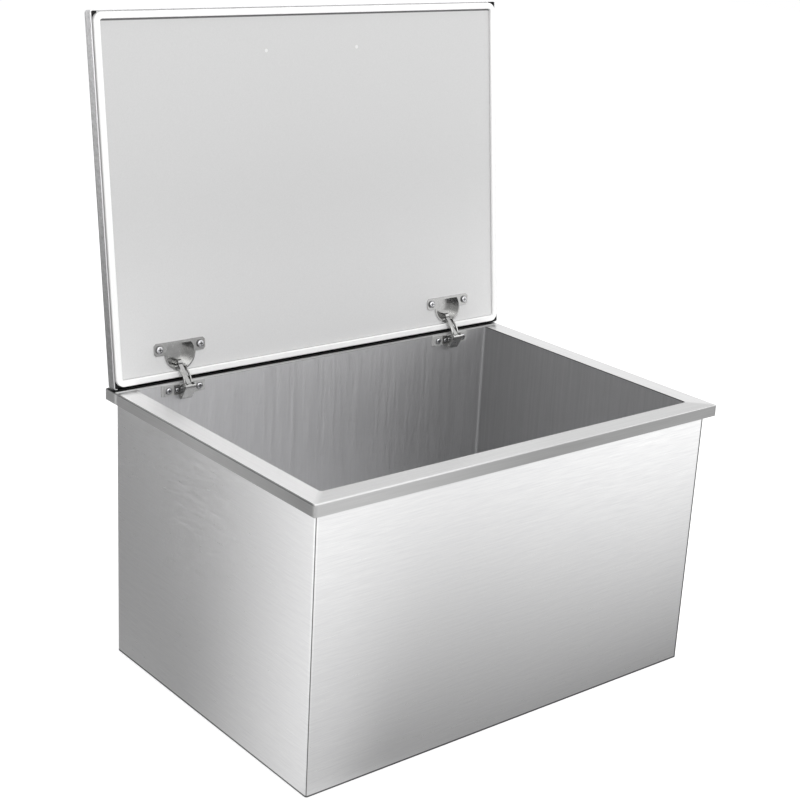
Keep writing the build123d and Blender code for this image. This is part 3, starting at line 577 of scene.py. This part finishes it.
# A brushing line is drawn 1.2 mm wide so that it shows. The rubbed marks are 6 to 8 mm wide.
face_streak = (0.06, 0.0012, 0.0012)
side_streak = (0.09, 0.008, 0.006)
lid_steel, tree, shader, place, colour = grained_steel(
    "brushed stainless, lid shell", "#BEBEBF", "#EAEAEB", side_streak, 0.38, 0.00002
)


def on_the_lid(tree, place):
    """Gives the height up the open lid, the distance past its lip, and the distance to one side."""
    from_edge = add_node(
        tree, "ShaderNodeVectorMath", {"operation": "SUBTRACT"}, {1: hinge_edge}, {0: place}
    )
    up = add_node(
        tree, "ShaderNodeVectorMath", {"operation": "DOT_PRODUCT"}, {1: up_lid}, {0: from_edge.outputs[0]}
    )
    past_lip = add_node(
        tree, "ShaderNodeVectorMath", {"operation": "DOT_PRODUCT"}, {1: into_well}, {0: from_edge.outputs[0]}
    )
    apart = add_node(tree, "ShaderNodeSeparateXYZ", links={0: place})
    across = add_node(tree, "ShaderNodeMath", {"operation": "ABSOLUTE"}, links={0: apart.outputs["X"]})
    return up.outputs["Value"], past_lip.outputs["Value"], across.outputs[0]


up, past_lip, across = on_the_lid(tree, place)
at_side = add_node(tree, "ShaderNodeMath", {"operation": "GREATER_THAN"}, {1: side_wall}, {0: across})
streak_size = add_node(
    tree,
    "ShaderNodeMix",
    {"data_type": "VECTOR"},
    {"A": face_streak, "B": side_streak},
    {"Factor": at_side.outputs[0]},
)
tree.links.new(streak_size.outputs["Result"], tree.nodes["grain"].inputs[1])
lip = add_node(
    tree,
    "ShaderNodeMapRange",
    inputs={"From Min": -lip_thickness, "From Max": -lip_edge},
    links={"Value": past_lip},
)
# Painted highlight: the shell's lip is made nearly white.
lip_lit = add_node(
    tree,
    "ShaderNodeMix",
    {"data_type": "RGBA"},
    {"B": linear("#EDEDEE")},
    {"Factor": lip.outputs["Result"], "A": colour.outputs["Result"]},
)
# Painted shade: the shell darkens towards the hinges.
hinge_end_shade = add_node(
    tree,
    "ShaderNodeMapRange",
    inputs={"From Min": 0.04, "From Max": 0.3, "To Min": 0.66, "To Max": 0.93},
    links={"Value": up},
)
# Painted shadow: the lip along the hinge edge is darkened nearly black, except at the ends and further back.
hinge_lip = add_node(
    tree, "ShaderNodeMath", {"operation": "LESS_THAN"}, {1: hinge_lip_height}, {0: up}
)
past_shadow_ends = add_node(
    tree, "ShaderNodeMath", {"operation": "GREATER_THAN"}, {1: shadow_end_across}, {0: across}
)
behind_shadow = add_node(
    tree, "ShaderNodeMath", {"operation": "LESS_THAN"}, {1: -hinge_shadow_depth}, {0: past_lip}
)
out_of_shadow = add_node(
    tree,
    "ShaderNodeMath",
    {"operation": "MAXIMUM"},
    links={0: past_shadow_ends.outputs[0], 1: behind_shadow.outputs[0]},
)
painted_shadow = add_node(
    tree,
    "ShaderNodeMath",
    {"operation": "SUBTRACT", "use_clamp": True},
    links={0: hinge_lip.outputs[0], 1: out_of_shadow.outputs[0]},
)
shadowed = add_node(
    tree,
    "ShaderNodeMath",
    {"operation": "MULTIPLY_ADD", "use_clamp": True},
    {1: -hinge_shadow_strength},
    {0: painted_shadow.outputs[0], 2: hinge_end_shade.outputs["Result"]},
)
toned = add_node(
    tree,
    "ShaderNodeVectorMath",
    {"operation": "SCALE"},
    links={0: lip_lit.outputs["Result"], "Scale": shadowed.outputs[0]},
)
tree.links.new(toned.outputs[0], shader.inputs["Base Color"])
wear("lid_shell", lid_steel)

# Lid inner panel: flat rolled stainless with a protective matt finish, with painted light towards
# the hinges. It is stepped down round its edge to make the channel that the seal sits in.
# Painted shadow lines the steps and darkens the channel's end and hinge margins outside the seal,
# and the top margin is painted white as painted light.
top_step = 0.3568
top_step_half = 0.0011
end_step = 0.2445
hinge_step = 0.0095
low_step_shadow_strength = 0.3
top_margin = 0.3605
end_margin = 0.2462
hinge_margin = 0.0078
panel_steel, tree, shader, place, colour = mottled(
    "matt stainless, lid panel", 0.25, 0.6, "#CCCCCC", "#D4D4D4", 700.0, 2.0
)
up, _, across = on_the_lid(tree, place)
# Painted light: the panel is lightened near the hinges.
painted_lift_near_hinges = add_node(
    tree,
    "ShaderNodeMapRange",
    {"interpolation_type": "SMOOTHSTEP"},
    {"From Min": 0.0, "From Max": 0.2, "To Min": 1.17, "To Max": 0.98},
    {"Value": up},
)
even = add_node(
    tree,
    "ShaderNodeVectorMath",
    {"operation": "SCALE"},
    links={0: colour.outputs["Result"], "Scale": painted_lift_near_hinges.outputs["Result"]},
)
# Painted shadow: dark lines along the steps, strongest at the top step.
at_top_step = add_node(
    tree,
    "ShaderNodeMath",
    {"operation": "COMPARE"},
    {1: top_step, 2: top_step_half},
    {0: up},
)
past_end_step = add_node(
    tree, "ShaderNodeMath", {"operation": "GREATER_THAN"}, {1: end_step}, {0: across}
)
past_hinge_step = add_node(
    tree, "ShaderNodeMath", {"operation": "LESS_THAN"}, {1: hinge_step}, {0: up}
)
low_steps = add_node(
    tree,
    "ShaderNodeMath",
    {"operation": "MAXIMUM"},
    links={0: past_end_step.outputs[0], 1: past_hinge_step.outputs[0]},
)
step_shadow = add_node(
    tree,
    "ShaderNodeMath",
    {"operation": "MULTIPLY_ADD"},
    {1: low_step_shadow_strength},
    {0: low_steps.outputs[0], 2: at_top_step.outputs[0]},
)
step_shadowed = add_node(
    tree,
    "ShaderNodeMix",
    {"data_type": "RGBA"},
    {"B": linear("#6C6C6D")},
    {"Factor": step_shadow.outputs[0], "A": even.outputs[0]},
)
# Painted light: the top margin outside the seal is made white.
past_top_margin = add_node(
    tree, "ShaderNodeMath", {"operation": "GREATER_THAN"}, {1: top_margin}, {0: up}
)
top_margin_lit = add_node(
    tree,
    "ShaderNodeMix",
    {"data_type": "RGBA"},
    {"B": linear("#FFFFFF")},
    {"Factor": past_top_margin.outputs[0], "A": step_shadowed.outputs["Result"]},
)
# Painted shade: the end and hinge margins outside the seal are made nearly black.
past_end_margin = add_node(
    tree, "ShaderNodeMath", {"operation": "GREATER_THAN"}, {1: end_margin}, {0: across}
)
past_hinge_margin = add_node(
    tree, "ShaderNodeMath", {"operation": "LESS_THAN"}, {1: hinge_margin}, {0: up}
)
margins = add_node(
    tree,
    "ShaderNodeMath",
    {"operation": "MAXIMUM"},
    links={0: past_end_margin.outputs[0], 1: past_hinge_margin.outputs[0]},
)
margins_shadowed = add_node(
    tree,
    "ShaderNodeMix",
    {"data_type": "RGBA"},
    {"B": linear("#101010")},
    {"Factor": margins.outputs[0], "A": top_margin_lit.outputs["Result"]},
)
tree.links.new(margins_shadowed.outputs["Result"], shader.inputs["Base Color"])
wear("lid_panel", panel_steel)

# Lid seal: extruded white silicone, joined into one ring and pushed into its channel.
# It is smooth and slightly glossy, with a faint powdery bloom.
silicone = mottled("extruded silicone, lid seal", 0.0, 0.42, "#FAFAF9", "#FFFFFF", 260.0, 4.0)[0]
wear("lid_seal", silicone)

# Bow handle: one bent stainless bar, polished after bending and tapped for its screws,
# with a turned washer under each foot.
handle_steel = grained_steel(
    "polished stainless, handle", "#C2C2C4", "#DCDCDE", (0.05, 0.0012, 0.0012), 0.18, 0.000005
)[0]
wear("handle_bar", handle_steel)
wear("handle_washers", handle_steel)

# Screws: pan heads with a cross recess, plated bright, with painted shade round and in the heads.
# Two hold the handle through the lid, four hold the cups, four the wing plates and four small
# ones the hinge arms.
hinge_x = 0.1776
ear_height = 0.0332
ear_thickness = 0.001
ear_half_span = 0.024
handle_height = 0.322
handle_half_span = 0.0575
wing_height = 0.2834
wing_face = 0.1542
wing_half_span = 0.018
arm_face = 0.1532
arm_half_span = 0.0086
screw_steel = mottled("zinc-plated steel, screws", 1.0, 0.28, "#C8C9CB", "#E4E4E6", 420.0, 2.0)[0]
# Painted shade: a dark finish for the heads' sides and their cross recesses.
screw_shade = mottled("painted shade, round and in the screw heads", 0.3, 0.55, "#2A2A2B", "#4A4A4B", 900.0, 2.0)[0]


def cross_screw(head_radius, head_height, shank_radius, shank_length):
    """Models one screw: its head stands on z = 0 and its shank goes down."""
    rounding = head_height * 0.65
    slot_length = head_radius * 1.12
    slot_width = head_radius * 0.24
    slot_depth = head_height * 1.1
    bpy.ops.object.select_all(action="DESELECT")
    bpy.ops.mesh.primitive_cylinder_add(
        vertices=40, radius=head_radius, depth=head_height, location=(0, 0, head_height / 2)
    )
    screw = bpy.context.object
    screw.data.materials.append(screw_steel)
    screw.data.materials.append(screw_shade)
    bpy.ops.object.transform_apply(location=True, rotation=True, scale=True)
    for edge in screw.data.edges:
        edge.select = all(screw.data.vertices[v].co.z > head_height * 0.9 for v in edge.vertices)
    bpy.ops.object.mode_set(mode="EDIT")
    bpy.ops.mesh.select_mode(type="EDGE")
    bpy.ops.mesh.bevel(offset=rounding, segments=6, profile=0.5)
    bpy.ops.object.mode_set(mode="OBJECT")
    # The head's upright sides take the painted shade.
    for face in screw.data.polygons:
        face.material_index = 1 if abs(face.normal.z) < 0.1 else 0
    bpy.ops.object.select_all(action="DESELECT")
    for turn in (0, pi / 2):
        bpy.ops.mesh.primitive_cube_add(
            size=1,
            location=(0, 0, head_height),
            rotation=(0, 0, turn),
            scale=(slot_length, slot_width, slot_depth),
        )
        cutter = bpy.context.object
        cutter.data.materials.append(screw_shade)
        bpy.context.view_layer.objects.active = screw
        cut = screw.modifiers.new("recess", "BOOLEAN")
        cut.operation = "DIFFERENCE"
        cut.solver = "EXACT"
        cut.material_mode = "TRANSFER"
        cut.object = cutter
        bpy.ops.object.modifier_apply(modifier=cut.name)
        bpy.data.objects.remove(cutter)
    bpy.ops.object.select_all(action="DESELECT")
    bpy.ops.mesh.primitive_cylinder_add(
        vertices=24, radius=shank_radius, depth=shank_length, location=(0, 0, -shank_length / 2)
    )
    shank = bpy.context.object
    bpy.ops.object.transform_apply(location=True, rotation=True, scale=True)
    screw.select_set(True)
    shank.select_set(True)
    bpy.context.view_layer.objects.active = screw
    bpy.ops.object.join()
    return screw


def set_screws(name, screw, places, node_name, body):
    """Copies a screw to its places, joins the copies and lets them stand for the frame's plain ones."""
    bpy.ops.object.select_all(action="DESELECT")
    copies = []
    for place_matrix in places:
        copy = screw.copy()
        copy.data = screw.data.copy()
        copy.data.transform(place_matrix)
        bpy.context.collection.objects.link(copy)
        copy.select_set(True)
        copies.append(copy)
    bpy.context.view_layer.objects.active = copies[0]
    bpy.ops.object.join()
    group = bpy.context.object
    group.name = name
    bpy.ops.object.shade_smooth_by_angle(angle=radians(35))
    bpy.data.objects.remove(screw)
    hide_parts(node_name)
    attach(group, body)


def turned(out_of_face, up_face):
    """Gives the turn that stands a screw's head out of a face, with its slots level."""
    return Matrix((Vector((1, 0, 0)), up_face, out_of_face)).transposed().to_4x4()


on_lid = turned(into_well, up_lid)
on_wall = turned(Vector((0, -1, 0)), Vector((0, 0, 1)))
ear_face = hinge_edge + up_lid * ear_height + into_well * ear_thickness
ear_places = [
    Matrix.Translation(Vector((x + step, 0, 0)) + ear_face) @ on_lid
    for x in (-hinge_x, hinge_x)
    for step in (-ear_half_span, ear_half_span)
]
set_screws("cup_screws_detail", cross_screw(0.0037, 0.0021, 0.00195, 0.009), ear_places, "cup_screws", "lid")
handle_places = [
    Matrix.Translation(Vector((x, 0, 0)) + hinge_edge + up_lid * handle_height) @ on_lid
    for x in (-handle_half_span, handle_half_span)
]
set_screws(
    "handle_screws_detail", cross_screw(0.0030, 0.0023, 0.0019, 0.025), handle_places, "handle_screws", "lid"
)
wing_places = [
    Matrix.Translation(Vector((x + step, wing_face, wing_height))) @ on_wall
    for x in (-hinge_x, hinge_x)
    for step in (-wing_half_span, wing_half_span)
]
set_screws(
    "wing_screws_detail", cross_screw(0.0034, 0.0022, 0.00195, 0.006), wing_places, "wing_screws", "bin"
)
arm_places = [
    Matrix.Translation(Vector((x + step, arm_face, wing_height))) @ on_wall
    for x in (-hinge_x, hinge_x)
    for step in (-arm_half_span, arm_half_span)
]
set_screws("arm_screws_detail", cross_screw(0.0020, 0.0012, 0.00115, 0.0016), arm_places, "arm_screws", "bin")

# Studio: a white paper floor that keeps the bin's shadow, an even white surround and three soft
# lamps. The steel mirrors a painted glow on the floor, seen only in reflections: it is bright in
# front of the near corner and falls off behind it, along the side and along the front.
away_from_camera = (0.769, 0.639, 0)
floor_drop = 0.0005
bpy.ops.object.select_all(action="DESELECT")
bpy.ops.mesh.primitive_plane_add(size=14, location=(0, 0, -floor_drop))
floor = bpy.context.object
floor.name = "studio_floor"
paper = bpy.data.materials.new("white paper floor")
paper.use_nodes = True
tree = paper.node_tree
tree.nodes.remove(tree.nodes["Principled BSDF"])
ray = add_node(tree, "ShaderNodeLightPath")
spot = add_node(tree, "ShaderNodeTexCoord")
matt = add_node(tree, "ShaderNodeBsdfDiffuse", inputs={"Color": (0.8, 0.8, 0.8, 1)})
lift = add_node(tree, "ShaderNodeEmission", inputs={"Color": (1, 1, 1, 1), "Strength": 0.42})
seen = add_node(tree, "ShaderNodeAddShader", links={0: matt.outputs[0], 1: lift.outputs[0]})
from_near_corner = add_node(
    tree,
    "ShaderNodeVectorMath",
    {"operation": "ADD"},
    {1: (casing_half_length, casing_half_depth, 0)},
    {0: spot.outputs["Object"]},
)
behind_corner = add_node(
    tree,
    "ShaderNodeVectorMath",
    {"operation": "DOT_PRODUCT"},
    {1: away_from_camera},
    {0: from_near_corner.outputs[0]},
)
parted = add_node(tree, "ShaderNodeSeparateXYZ", links={0: from_near_corner.outputs[0]})
side_fall = add_node(
    tree,
    "ShaderNodeMapRange",
    {"interpolation_type": "SMOOTHSTEP"},
    {"From Min": -0.032, "From Max": 0.155},
    {"Value": behind_corner.outputs["Value"]},
)
side_near = add_node(
    tree,
    "ShaderNodeMapRange",
    {"clamp": False},
    {"From Min": 0.0, "From Max": -0.5, "To Min": 0.82, "To Max": 1.28},
    {"Value": parted.outputs["X"]},
)
side_far = add_node(
    tree,
    "ShaderNodeMapRange",
    inputs={"From Min": 0.0, "From Max": -0.5, "To Min": 0.325, "To Max": 0.145},
    links={"Value": parted.outputs["X"]},
)
side_tone = add_node(
    tree,
    "ShaderNodeMix",
    {"data_type": "FLOAT"},
    links={
        "Factor": side_fall.outputs["Result"],
        "A": side_near.outputs["Result"],
        "B": side_far.outputs["Result"],
    },
)
pool = add_node(
    tree,
    "ShaderNodeMapRange",
    {"interpolation_type": "SMOOTHSTEP"},
    {"From Min": 0.0, "From Max": 0.08, "To Min": 0.595, "To Max": 0.31},
    {"Value": behind_corner.outputs["Value"]},
)
ahead = add_node(
    tree,
    "ShaderNodeMapRange",
    inputs={"From Min": 0.0, "From Max": -0.6},
    links={"Value": parted.outputs["Y"]},
)
gain = add_node(
    tree,
    "ShaderNodeMapRange",
    inputs={"From Min": 0.12, "From Max": 0.36, "To Min": 0.66, "To Max": 1.03},
    links={"Value": behind_corner.outputs["Value"]},
)
front_tone = add_node(
    tree,
    "ShaderNodeMath",
    {"operation": "MULTIPLY_ADD"},
    links={0: ahead.outputs["Result"], 1: gain.outputs["Result"], 2: pool.outputs["Result"]},
)
beside = add_node(
    tree,
    "ShaderNodeMapRange",
    inputs={"From Min": -0.02, "From Max": 0.02},
    links={"Value": parted.outputs["Y"]},
)
fall = add_node(
    tree,
    "ShaderNodeMix",
    {"data_type": "FLOAT"},
    links={
        "Factor": beside.outputs["Result"],
        "A": front_tone.outputs[0],
        "B": side_tone.outputs["Result"],
    },
)
# Painted reflection: a glow that only glossy and transmission rays see.
painted_glow = add_node(
    tree, "ShaderNodeEmission", inputs={"Color": (1, 1, 1, 1)}, links={"Strength": fall.outputs["Result"]}
)
direct = add_node(
    tree,
    "ShaderNodeMixShader",
    links={0: ray.outputs["Is Camera Ray"], 1: matt.outputs[0], 2: seen.outputs[0]},
)
shiny = add_node(
    tree,
    "ShaderNodeMath",
    {"operation": "MAXIMUM"},
    links={0: ray.outputs["Is Glossy Ray"], 1: ray.outputs["Is Transmission Ray"]},
)
whole = add_node(
    tree,
    "ShaderNodeMixShader",
    links={0: shiny.outputs[0], 1: direct.outputs[0], 2: painted_glow.outputs[0]},
)
tree.links.new(whole.outputs[0], tree.nodes["Material Output"].inputs["Surface"])
floor.data.materials.append(paper)

surround = bpy.data.worlds.new("white surround")
bpy.context.scene.world = surround
surround.use_nodes = True
tree = surround.node_tree
ray = add_node(tree, "ShaderNodeLightPath")
level = add_node(
    tree,
    "ShaderNodeMath",
    {"operation": "MAXIMUM"},
    links={0: ray.outputs["Is Camera Ray"], 1: ray.outputs["Is Glossy Ray"]},
)
strength = add_node(
    tree,
    "ShaderNodeMapRange",
    inputs={"To Min": 0.75, "To Max": 1.0},
    links={"Value": level.outputs[0]},
)
backdrop = tree.nodes["Background"]
backdrop.inputs["Color"].default_value = (1, 1, 1, 1)
tree.links.new(strength.outputs["Result"], backdrop.inputs["Strength"])

bin_middle = Vector((0, 0, 0.25))
for name, where, size, watts in (
    ("key softbox", (-0.6, -2.6, 2.2), 1.6, 30),
    ("fill softbox", (2.4, -1.6, 1.8), 1.8, 12),
    ("top softbox", (0.2, 0.4, 3.0), 2.0, 18),
):
    lamp = bpy.data.lights.new(name, "AREA")
    lamp.size = size
    lamp.energy = watts
    lamp_object = bpy.data.objects.new(name, lamp)
    lamp_object.location = where
    lamp_object.rotation_euler = (bin_middle - Vector(where)).to_track_quat("-Z", "Y").to_euler()
    bpy.context.collection.objects.link(lamp_object)

# Camera: a long lens, held a little off level, as the photograph was taken.
# It stands off the front left corner and looks down into the open bin.
bearing = radians(-39.67)
height = radians(18.84)
roll = radians(3.10)
stand = Vector((-1.00756, -1.19079, 0.81722))
behind = Vector((sin(bearing) * cos(height), -cos(bearing) * cos(height), sin(height)))
lens = bpy.data.cameras.new("long lens")
lens.sensor_width = 36
lens.lens = 73.29
camera = bpy.data.objects.new("camera", lens)
facing = (-behind).to_track_quat("-Z", "Y").to_matrix() @ Matrix.Rotation(roll, 3, "Z")
camera.matrix_world = Matrix.Translation(stand) @ facing.to_4x4()
bpy.context.collection.objects.link(camera)
bpy.context.scene.camera = camera
bpy.context.scene.view_settings.view_transform = "Standard"
